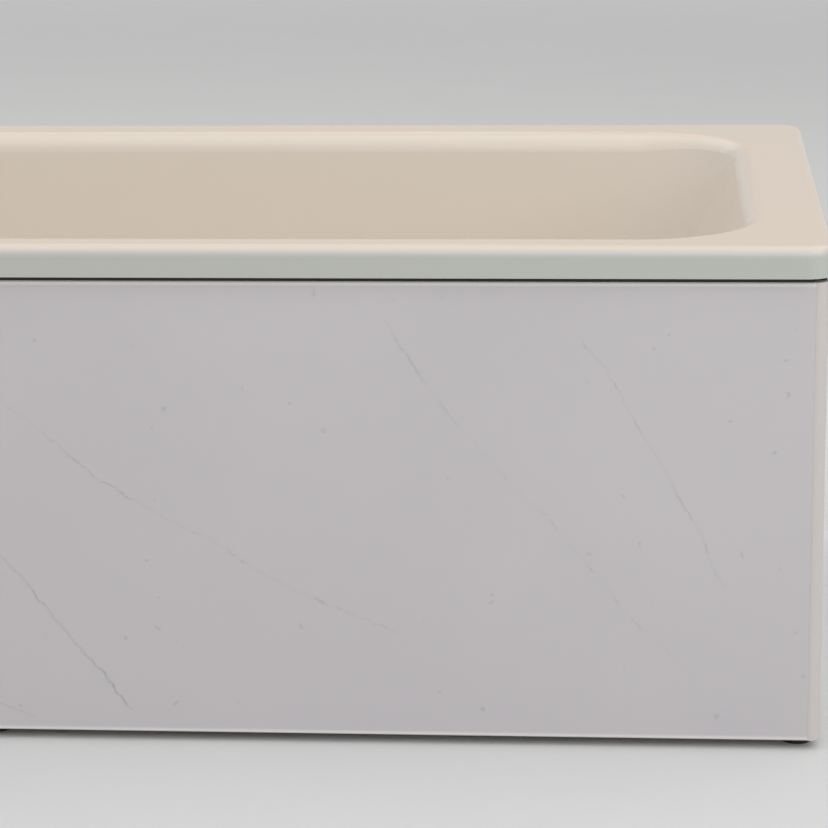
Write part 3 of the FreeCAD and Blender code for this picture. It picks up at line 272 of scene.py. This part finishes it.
def enamel():
    """Cream glaze inside and on the rim, with painted light on the steep inner walls and painted
    shade on the skirt; dark speckled ground coat outside and below.
    """
    finish = Finish("cream_enamel", CREAM, roughness=0.24)
    finish.shader.inputs["Specular IOR Level"].default_value = GLAZE_SPECULAR
    glaze = finish.blend(finish.noise(scale=1.3, detail=2.0), CREAM, CREAM_DEEP)
    level = finish.axis(finish.smooth_facing, "Z")
    # Painted light: faces steeper than the rim get a lighter, paler cream than the flat rim
    glaze = finish.blend(finish.ramp(level, low=0.80, high=0.97), WALL_CREAM_PAINTED_LIGHT, glaze)
    # Painted shade: the turned-down skirt and its rounded edge get a darker, cooler colour on their
    # steep faces
    edge = finish.outline_distance(rim_high.x - RIM_CORNER_R, rim_high.y - RIM_CORNER_R)
    skirt = finish.calc("GREATER_THAN", edge, RIM_CORNER_R - RIM_EDGE_R - RIM_EDGE_MARGIN)
    skirt_painted_shade = finish.calc("MULTIPLY", skirt, finish.ramp(level, low=0.85, high=0.25))
    glaze = finish.blend(skirt_painted_shade, glaze, SKIRT_PAINTED_SHADE)
    # Elsewhere a point is outside where its flat normal leads away from the middle of the basin
    middle = (0.0, 0.0, rim_high.z + MIDDLE_ABOVE_RIM)
    from_middle = finish.vector("SUBTRACT", finish.place, middle)
    away = finish.vector("DOT_PRODUCT", finish.facing, from_middle, output="Value")
    elsewhere = finish.calc("SUBTRACT", 1.0, skirt)
    outside = finish.calc("MULTIPLY", elsewhere, finish.ramp(away, low=0.0, high=0.01))
    specks = finish.ramp(finish.noise(scale=420.0, detail=1.0), low=0.58, high=0.66)
    coat = finish.blend(specks, GROUND_COAT, GROUND_SPECK)
    finish.paint(finish.blend(outside, glaze, coat))
    uneven = finish.ramp(finish.noise(scale=3.0), NOISE_LOW, NOISE_HIGH, to_low=0.20, to_high=0.26)
    rougher = finish.calc("MULTIPLY", outside, GROUND_COAT_ROUGHER)
    finish.feed(finish.shader.inputs["Roughness"], finish.calc("ADD", uneven, rougher))
    finish.relief(finish.noise(scale=55.0, detail=2.0), distance=0.0004, strength=0.3)
    return finish.material


def vein_mask(finish, across, up, veins):
    """Hair-thin broken lines with a faint halo, each along a bowed way in one plane."""
    wander = finish.noise(scale=7.0, detail=3.0, roughness=0.5)
    wander = finish.calc("SUBTRACT", wander, NOISE_MIDDLE)
    jitter = finish.noise(scale=90.0, detail=3.0, roughness=0.6)
    jitter = finish.calc("SUBTRACT", jitter, NOISE_MIDDLE)
    strand = finish.noise(scale=34.0, detail=4.0, roughness=0.62)
    broken = finish.ramp(strand, low=0.49, high=0.63)
    total = None
    for (x0, z0), (x1, z1), bow, weight, solid in veins:
        length = math.hypot(x1 - x0, z1 - z0)
        way = ((x1 - x0) / length, (z1 - z0) / length)
        across_start = finish.calc("SUBTRACT", across, x0)
        up_start = finish.calc("SUBTRACT", up, z0)
        along = finish.calc("MULTIPLY_ADD", across_start, way[0] / length,
                            finish.calc("MULTIPLY", up_start, way[1] / length))
        aside = finish.calc("MULTIPLY_ADD", across_start, -way[1],
                            finish.calc("MULTIPLY", up_start, way[0]))
        hump = finish.calc("MULTIPLY", along, finish.calc("SUBTRACT", 1.0, along))
        hump = finish.calc("MULTIPLY", hump, -BOW_SCALE * bow)
        off = finish.calc("MULTIPLY_ADD", wander, VEIN_WANDER, finish.calc("ADD", aside, hump))
        off = finish.calc("ABSOLUTE", finish.calc("MULTIPLY_ADD", jitter, VEIN_JITTER, off))
        ends = finish.calc("MULTIPLY", finish.ramp(along, low=0.0, high=VEIN_FULL),
                           finish.ramp(along, low=1.0, high=VEIN_FADES))
        held = finish.calc("ADD", broken, solid, clamp=True)
        core = finish.ramp(off, low=VEIN_HALF_WIDTH * 2, high=VEIN_HALF_WIDTH / 2)
        core = finish.calc("MULTIPLY", core, held)
        halo = finish.calc("MULTIPLY", finish.ramp(off, low=VEIN_HALO, high=0.0),
                           VEIN_HALO_STRENGTH)
        line = finish.calc("MULTIPLY", finish.calc("ADD", core, halo), ends)
        line = finish.calc("MULTIPLY", line, weight)
        total = line if total is None else finish.calc("MAXIMUM", total, line)
    return total


def marble_board(name, across_letter, veins):
    """Satin printed board: cloudy off-white face with fine grey veins, a painted highlight along
    the upper and lower edges, and a plain back.
    """
    finish = Finish(name, MARBLE, roughness=0.38)
    across = finish.axis(finish.place, across_letter)
    up = finish.axis(finish.place, "Z")
    clouds = finish.ramp(finish.noise(scale=3.2, detail=3.0, roughness=0.55), low=0.35, high=0.7)
    face = finish.blend(clouds, MARBLE, MARBLE_CLOUD)
    # Specks: small uneven spots, only where a second noise lets them show
    smeared = finish.vector("MULTIPLY_ADD", finish.noise_colour(scale=110.0), SPECK_SMEAR,
                            finish.place)
    specks = finish.ramp(finish.cells(scale=31.0, place=smeared), low=0.092, high=0.05)
    shown = finish.ramp(finish.noise(scale=11.0, detail=2.0), low=0.36, high=0.56)
    specks = finish.calc("MULTIPLY", finish.calc("MULTIPLY", specks, shown), SPECK_STRENGTH)
    marks = finish.calc("MAXIMUM", vein_mask(finish, across, up, veins), specks)
    face = finish.blend(finish.calc("MULTIPLY", marks, MARK_STRENGTH), face, VEIN)
    # Painted highlight along the upper and lower edges: the bevels and a few millimetres beside
    # them are painted paler
    middle = (panel_low.z + panel_high.z) / 2
    reach = (panel_high.z - panel_low.z) / 2
    from_middle = finish.calc("ABSOLUTE", finish.calc("SUBTRACT", up, middle))
    painted_highlight = finish.ramp(from_middle, low=reach - EDGE_HIGHLIGHT_WIDTH, high=reach - EDGE_HIGHLIGHT_WIDTH * EDGE_HIGHLIGHT_FULL)
    face = finish.blend(painted_highlight, face, MARBLE_EDGE_PAINTED_HIGHLIGHT)
    # The back, whose normal leads towards the tub's middle line
    in_plan = finish.stretched((1.0, 1.0, 0.0))
    outward = finish.vector("DOT_PRODUCT", finish.facing, in_plan, output="Value")
    inward = finish.ramp(outward, low=-0.1, high=-0.2)
    flecks = finish.ramp(finish.noise(scale=240.0, detail=3.0), low=0.4, high=0.7)
    back = finish.blend(flecks, BOARD_BACK, BOARD_BACK_DARK)
    finish.paint(finish.blend(inward, face, back))
    finish.gloss(finish.noise(scale=7.0), least=0.34, most=0.42)
    finish.relief(finish.noise(scale=180.0, detail=2.0), distance=0.0002, strength=0.15)
    return finish.material


def trim_plastic():
    """Extruded strip with faint lines along its height."""
    finish = Finish("corner_trim_plastic", TRIM, roughness=0.34)
    finish.paint(finish.blend(finish.noise(scale=4.0, detail=2.0), TRIM, TRIM_DEEP))
    finish.gloss(finish.noise(scale=20.0), least=0.30, most=0.38)
    lines = finish.noise(scale=1.0, detail=2.0, place=finish.stretched(TRIM_LINES))
    finish.relief(lines, distance=0.0001, strength=0.3)
    return finish.material


def galvanised():
    """Zinc spangle: flat crystals of slightly different brightness."""
    finish = Finish("galvanised_steel", ZINC, roughness=0.42, metallic=1.0)
    crystals = finish.axis(finish.cells(scale=140.0, output="Color"), "X")
    dull = finish.calc("MULTIPLY", finish.noise(scale=18.0, detail=4.0, roughness=0.6), DULL_SHARE)
    darker = finish.calc("MULTIPLY_ADD", crystals, CRYSTAL_SHARE, dull)
    finish.paint(finish.blend(darker, ZINC, ZINC_DARK))
    finish.mask_gloss(crystals, least=0.34, most=0.52)
    finish.relief(finish.noise(scale=260.0, detail=2.0), distance=0.0002, strength=0.25)
    return finish.material


def aluminium(along):
    """Extruded alloy tube: fine die lines along its length."""
    finish = Finish("aluminium_" + "xyz"[along], ALLOY, roughness=0.36, metallic=1.0)
    factors = [DIE_LINES_ACROSS] * 3
    factors[along] = DIE_LINES_ALONG
    lines = finish.noise(scale=1.0, detail=3.0, roughness=0.6,
                         place=finish.stretched(tuple(factors)))
    smudge = finish.noise(scale=14.0, detail=3.0)
    finish.paint(finish.blend(finish.calc("MULTIPLY", lines, smudge), ALLOY, ALLOY_DARK))
    finish.gloss(smudge, least=0.30, most=0.44)
    finish.relief(lines, distance=0.0001, strength=0.35)
    return finish.material


def chrome():
    """Bright plating with faint smears from hands and water."""
    finish = Finish("chrome_plate", CHROME, roughness=0.07, metallic=1.0)
    smear = finish.ramp(finish.noise(scale=38.0, detail=4.0, roughness=0.6), low=0.45, high=0.75)
    finish.paint(finish.blend(smear, CHROME, CHROME_SMEAR))
    finish.mask_gloss(smear, least=0.05, most=0.13)
    return finish.material


def brass():
    """Turned brass with spots of tarnish."""
    finish = Finish("turned_brass", BRASS, roughness=0.3, metallic=1.0)
    tarnish = finish.ramp(finish.noise(scale=120.0, detail=4.0, roughness=0.6), low=0.4, high=0.75)
    finish.paint(finish.blend(tarnish, BRASS, BRASS_DARK))
    finish.mask_gloss(tarnish, least=0.29, most=0.48)
    return finish.material


def rubber():
    """Black rubber with a little dust and a fine skin."""
    finish = Finish("black_rubber", RUBBER, roughness=0.75)
    dust = finish.ramp(finish.noise(scale=46.0, detail=5.0, roughness=0.65), low=0.5, high=0.8)
    finish.paint(finish.blend(dust, RUBBER, RUBBER_DUST))
    finish.mask_gloss(dust, least=0.62, most=0.88)
    finish.relief(finish.noise(scale=700.0, detail=2.0), distance=0.0002, strength=0.4)
    return finish.material


def black_plastic():
    """Moulded plastic with a fine grain and worn spots."""
    finish = Finish("black_plastic", BLACK, roughness=0.45)
    worn = finish.ramp(finish.noise(scale=70.0, detail=4.0, roughness=0.6), low=0.5, high=0.78)
    finish.paint(finish.blend(worn, BLACK, BLACK_WORN))
    finish.mask_gloss(worn, least=0.38, most=0.6)
    finish.relief(finish.cells(scale=900.0), distance=0.0001, strength=0.4)
    return finish.material


def white_plastic():
    """Moulded waste fittings with soft flow marks."""
    finish = Finish("white_plastic", WHITE, roughness=0.36)
    flow = finish.noise(scale=22.0, detail=3.0)
    finish.paint(finish.blend(flow, WHITE, WHITE_DEEP))
    finish.gloss(flow, least=0.30, most=0.46)
    finish.relief(finish.noise(scale=300.0, detail=2.0), distance=0.0001, strength=0.3)
    return finish.material


def bitumen():
    """Grainy deadening mat."""
    finish = Finish("bitumen_mat", BITUMEN, roughness=0.8)
    grain = finish.noise(scale=130.0, detail=5.0, roughness=0.7)
    finish.paint(finish.blend(finish.ramp(grain, low=0.45, high=0.75), BITUMEN, BITUMEN_GREY))
    finish.gloss(grain, least=0.65, most=0.9)
    finish.relief(grain, distance=0.0006, strength=0.6)
    return finish.material


def board_strip():
    """Raw fibre board with its fibres along x and y."""
    finish = Finish("fibre_board", FIBRE, roughness=0.8)
    fibres = finish.noise(scale=1.0, detail=5.0, roughness=0.7, place=finish.stretched(FIBRE_LINES))
    finish.paint(finish.blend(finish.ramp(fibres, low=0.35, high=0.7), FIBRE, FIBRE_DARK))
    finish.gloss(fibres, least=0.7, most=0.9)
    finish.relief(fibres, distance=0.0003, strength=0.5)
    return finish.material


front_marble = marble_board("marble_front", "X", FRONT_VEINS)
end_marble = marble_board("marble_end", "Y", END_VEINS)
alloys = [aluminium(along) for along in range(3)]
finishes = {
    "enamel": enamel(), "trim_plastic": trim_plastic(), "galvanised": galvanised(),
    "chrome": chrome(), "brass": brass(), "rubber": rubber(), "black_plastic": black_plastic(),
    "white_plastic": white_plastic(), "bitumen": bitumen(), "board_strip": board_strip(),
    "marble_board": end_marble,
}


def longest_side(node):
    low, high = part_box(node)
    sides = list(high - low)
    return sides.index(max(sides))


def dress(node, slot):
    if node == "front_panel":
        material = front_marble
    elif slot == "aluminium":
        material = alloys[longest_side(node)]
    else:
        material = finishes[slot]
    piece = frame["nodes"][node]
    if not piece.material_slots:
        piece.data.materials.append(material)
    for place in piece.material_slots:
        place.material = material


for part in frame["record"]["subparts"]:
    dress(part["node"], part["material_slot"])


def add_mesh(name, points, faces, material):
    mesh = bpy.data.meshes.new(name)
    mesh.from_pydata(points, [], faces)
    mesh.materials.append(material)
    piece = bpy.data.objects.new(name, mesh)
    bpy.context.scene.collection.objects.link(piece)
    return piece


# Screw threads of the levelling feet: a core that narrows at its ends, with a helical ridge, a
# swept triangle whose foot is sunk a little into the core and whose half width is a share of the
# pitch
THREAD_R = 0.005
THREAD_CORE_R = 0.0043
THREAD_PITCH = 0.0015
THREAD_STEPS = 20
THREAD_END = 0.0012
THREAD_TIP_R = THREAD_CORE_R * 0.85
RIDGE_FOOT_R = THREAD_CORE_R * 0.97
RIDGE_HALF_WIDTH = 0.42
RIDGE_POINTS = 3


def ring(centre_x, centre_y, z, radius):
    turn = [2 * math.pi * step / THREAD_STEPS for step in range(THREAD_STEPS)]
    return [(centre_x + radius * math.cos(a), centre_y + radius * math.sin(a), z) for a in turn]


def closed_tube(points, faces, rings):
    """Add a closed shell through rings of equal count."""
    first = len(points)
    count = THREAD_STEPS
    for each in rings:
        points.extend(each)
    for row in range(len(rings) - 1):
        for step in range(count):
            low = first + row * count + step
            low_next = first + row * count + (step + 1) % count
            faces.append((low, low_next, low_next + count, low + count))
    faces.append(tuple(first + step for step in reversed(range(count))))
    last = first + (len(rings) - 1) * count
    faces.append(tuple(last + step for step in range(count)))


def ridge(points, faces, x, y, low, high):
    """Add the helical ridge between two heights, with closed ends."""
    first = len(points)
    steps = int((high - low) / THREAD_PITCH * THREAD_STEPS)
    for step in range(steps + 1):
        angle = 2 * math.pi * step / THREAD_STEPS
        z = low + THREAD_PITCH * step / THREAD_STEPS
        fade = min(1.0, step / THREAD_STEPS, (steps - step) / THREAD_STEPS)
        crest = RIDGE_FOOT_R + (THREAD_R - RIDGE_FOOT_R) * fade
        profile = ((RIDGE_FOOT_R, -RIDGE_HALF_WIDTH), (crest, 0.0),
                   (RIDGE_FOOT_R, RIDGE_HALF_WIDTH))
        for radius, rise in profile:
            points.append((x + radius * math.cos(angle), y + radius * math.sin(angle),
                           z + rise * THREAD_PITCH))
    for step in range(steps):
        here = first + step * RIDGE_POINTS
        after = here + RIDGE_POINTS
        for side, other in ((0, 1), (1, 2), (2, 0)):
            faces.append((here + side, after + side, after + other, here + other))
    last = first + steps * RIDGE_POINTS
    faces.append((first, first + 1, first + 2))
    faces.append((last + 2, last + 1, last))


def threaded_rods():
    """The four levelling rods with their screw threads."""
    low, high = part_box("foot_rods")
    points, faces = [], []
    for x in (low.x + THREAD_R, high.x - THREAD_R):
        for y in (low.y + THREAD_R, high.y - THREAD_R):
            closed_tube(points, faces, [ring(x, y, low.z, THREAD_TIP_R),
                                        ring(x, y, low.z + THREAD_END, THREAD_CORE_R),
                                        ring(x, y, high.z - THREAD_END, THREAD_CORE_R),
                                        ring(x, y, high.z, THREAD_TIP_R)])
            ridge(points, faces, x, y, low.z + THREAD_END, high.z - THREAD_END)
    rods = add_mesh("threaded_rods", points, faces, finishes["galvanised"])
    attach(rods, "tub")
    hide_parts("foot_rods")


threaded_rods()

# Soft lips of the corner trims, which close the joints at the front panel's ends
LIP_RECESS = 0.00004
LIP_CLEARANCE = 0.00003
LIP_NOSE_DEPTH = 0.00006
LIP_NOSE_STEPS = 6


def trim_lips():
    """Thin strips with a rounded nose between each corner trim and the front panel."""
    points, faces = [], []
    for trim, side in (("corner_trim_right", 1), ("corner_trim_left", -1)):
        low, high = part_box(trim)
        root = low.x if side > 0 else high.x
        tip = (panel_high.x if side > 0 else panel_low.x) + side * LIP_CLEARANCE
        centre = (root + tip) / 2
        nose_r = abs(root - tip) / 2
        nose_y = panel_low.y + LIP_RECESS + LIP_NOSE_DEPTH
        turns = [math.pi * step / LIP_NOSE_STEPS for step in range(LIP_NOSE_STEPS + 1)]
        outline = [(root, panel_high.y)]
        outline += [(centre + side * nose_r * math.cos(a), nose_y - LIP_NOSE_DEPTH * math.sin(a))
                    for a in turns]
        outline.append((tip, panel_high.y))
        first, count = len(points), len(outline)
        for z in (panel_low.z + LIP_RECESS, panel_high.z - LIP_RECESS):
            points += [(x, y, z) for x, y in outline]
        lower = [first + step for step in range(count)]
        upper = [first + count + step for step in range(count)]
        for step in range(count):
            after = (step + 1) % count
            faces.append((lower[step], lower[after], upper[after], upper[step])[::-side])
        faces.append(tuple(lower[::side]))
        faces.append(tuple(upper[::-side]))
    lips = add_mesh("trim_lips", points, faces, finishes["trim_plastic"])
    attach(lips, "tub")


trim_lips()

# Camera at the photograph's viewing angle
CAMERA_PLACE = Vector((0.67333, -3.22015, 1.08949))
CAMERA_YAW = -0.081441
CAMERA_PITCH = 0.254249
CAMERA_ROLL = 0.01433
LENS_MM = 130.577
SENSOR_MM = 36.0


def add_camera():
    yaw, pitch = CAMERA_YAW, CAMERA_PITCH
    ahead = Vector((math.sin(yaw) * math.cos(pitch), math.cos(yaw) * math.cos(pitch),
                    -math.sin(pitch)))
    right = Vector((math.cos(yaw), -math.sin(yaw), 0))
    down = ahead.cross(right)
    side = right * math.cos(CAMERA_ROLL) + down * math.sin(CAMERA_ROLL)
    up = right * math.sin(CAMERA_ROLL) - down * math.cos(CAMERA_ROLL)
    turn = Matrix((side, up, -ahead)).transposed().to_4x4()
    camera = bpy.data.objects.new("camera", bpy.data.cameras.new("camera"))
    camera.data.lens = LENS_MM
    camera.data.sensor_width = SENSOR_MM
    camera.matrix_world = Matrix.Translation(CAMERA_PLACE) @ turn
    bpy.context.scene.collection.objects.link(camera)
    bpy.context.scene.camera = camera


# Stage. The floor looks pale to the camera and in reflections, and lights the object in the warmer
# and darker colour of FLOOR_BOUNCE. It fades into the backdrop between two distances from the tub.
FLOOR_R = 14.0
FLOOR_COLOUR = (0.74, 0.74, 0.735)
FLOOR_BOUNCE = (0.465, 0.417, 0.36)
BACKDROP = (0.62, 0.62, 0.62)
AMBIENT_COLOUR = (1.0, 1.0, 1.0)
AMBIENT = 0.42
FADE_NEAR, FADE_FAR = 3.0, 9.0


def seen_directly(nodes, links):
    """1 for camera, glossy and transmission rays, 0 for the rays that light the object."""
    path = nodes.new("ShaderNodeLightPath")
    total = path.outputs["Is Camera Ray"]
    for name in ("Is Glossy Ray", "Is Transmission Ray"):
        larger = nodes.new("ShaderNodeMath")
        larger.operation = "MAXIMUM"
        links.new(total, larger.inputs[0])
        links.new(path.outputs[name], larger.inputs[1])
        total = larger.outputs[0]
    return total


def add_world():
    """Plain light from all sides, and the backdrop's grey where the world is seen."""
    world = bpy.data.worlds.new("studio")
    bpy.context.scene.world = world
    world.use_nodes = True
    nodes, links = world.node_tree.nodes, world.node_tree.links
    light = nodes["Background"]
    light.inputs["Color"].default_value = (*AMBIENT_COLOUR, 1)
    light.inputs["Strength"].default_value = AMBIENT
    seen = nodes.new("ShaderNodeBackground")
    seen.inputs["Color"].default_value = (*BACKDROP, 1)
    mix = nodes.new("ShaderNodeMixShader")
    links.new(seen_directly(nodes, links), mix.inputs[0])
    links.new(light.outputs[0], mix.inputs[1])
    links.new(seen.outputs[0], mix.inputs[2])
    links.new(mix.outputs[0], nodes["World Output"].inputs["Surface"])


def add_floor():
    """Pale floor that takes the object's shadow and fades into the backdrop far away."""
    finish = Finish("studio_floor", FLOOR_COLOUR, roughness=0.7)
    finish.gloss(finish.noise(scale=5.0), least=0.62, most=0.78)
    seen = seen_directly(finish.nodes, finish.links)
    finish.paint(finish.blend(seen, FLOOR_BOUNCE, FLOOR_COLOUR))
    glow = finish.nodes.new("ShaderNodeEmission")
    glow.inputs["Color"].default_value = (*BACKDROP, 1)
    far = finish.vector("LENGTH", finish.place, output="Value")
    fade = finish.calc("MULTIPLY", finish.ramp(far, low=FADE_NEAR, high=FADE_FAR), seen)
    mix = finish.nodes.new("ShaderNodeMixShader")
    finish.feed(mix.inputs[0], fade)
    finish.feed(mix.inputs[1], finish.shader.outputs[0])
    finish.feed(mix.inputs[2], glow.outputs[0])
    finish.feed(finish.nodes["Material Output"].inputs["Surface"], mix.outputs[0])
    corners = [(x * FLOOR_R, y * FLOOR_R, 0.0) for x, y in ((-1, -1), (1, -1), (1, 1), (-1, 1))]
    floor = add_mesh("floor", corners, [(0, 1, 2, 3)], finish.material)


def add_light(name, place, aim, width, height, watts, colour):
    """Rectangular lamp at a place, turned towards the point that it aims at."""
    data = bpy.data.lights.new(name, "AREA")
    data.shape = "RECTANGLE"
    data.size, data.size_y = width, height
    data.energy = watts
    data.color = colour
    lamp = bpy.data.objects.new(name, data)
    lamp.location = place
    lamp.rotation_euler = (Vector(aim) - Vector(place)).to_track_quat("-Z", "Y").to_euler()
    lamp.visible_camera = False
    bpy.context.scene.collection.objects.link(lamp)


add_camera()
add_world()
add_floor()
add_light("top_softbox", place=(0.3, 0.0, 3.4), aim=(0.3, 0.0, 0.0),
          width=7.0, height=5.0, watts=77.0, colour=(1.0, 0.98, 0.955))
add_light("front_softbox", place=(3.4, -4.2, 3.8), aim=(0.5, 0.0, 0.3),
          width=8.0, height=4.8, watts=182.0, colour=(0.93, 0.985, 1.0))
add_light("back_fill", place=(-1.6, 4.2, 3.8), aim=(0.0, 0.0, 0.2),
          width=4.5, height=2.6, watts=28.0, colour=(1.0, 1.0, 1.0))

bpy.context.scene.view_settings.view_transform = "Standard"
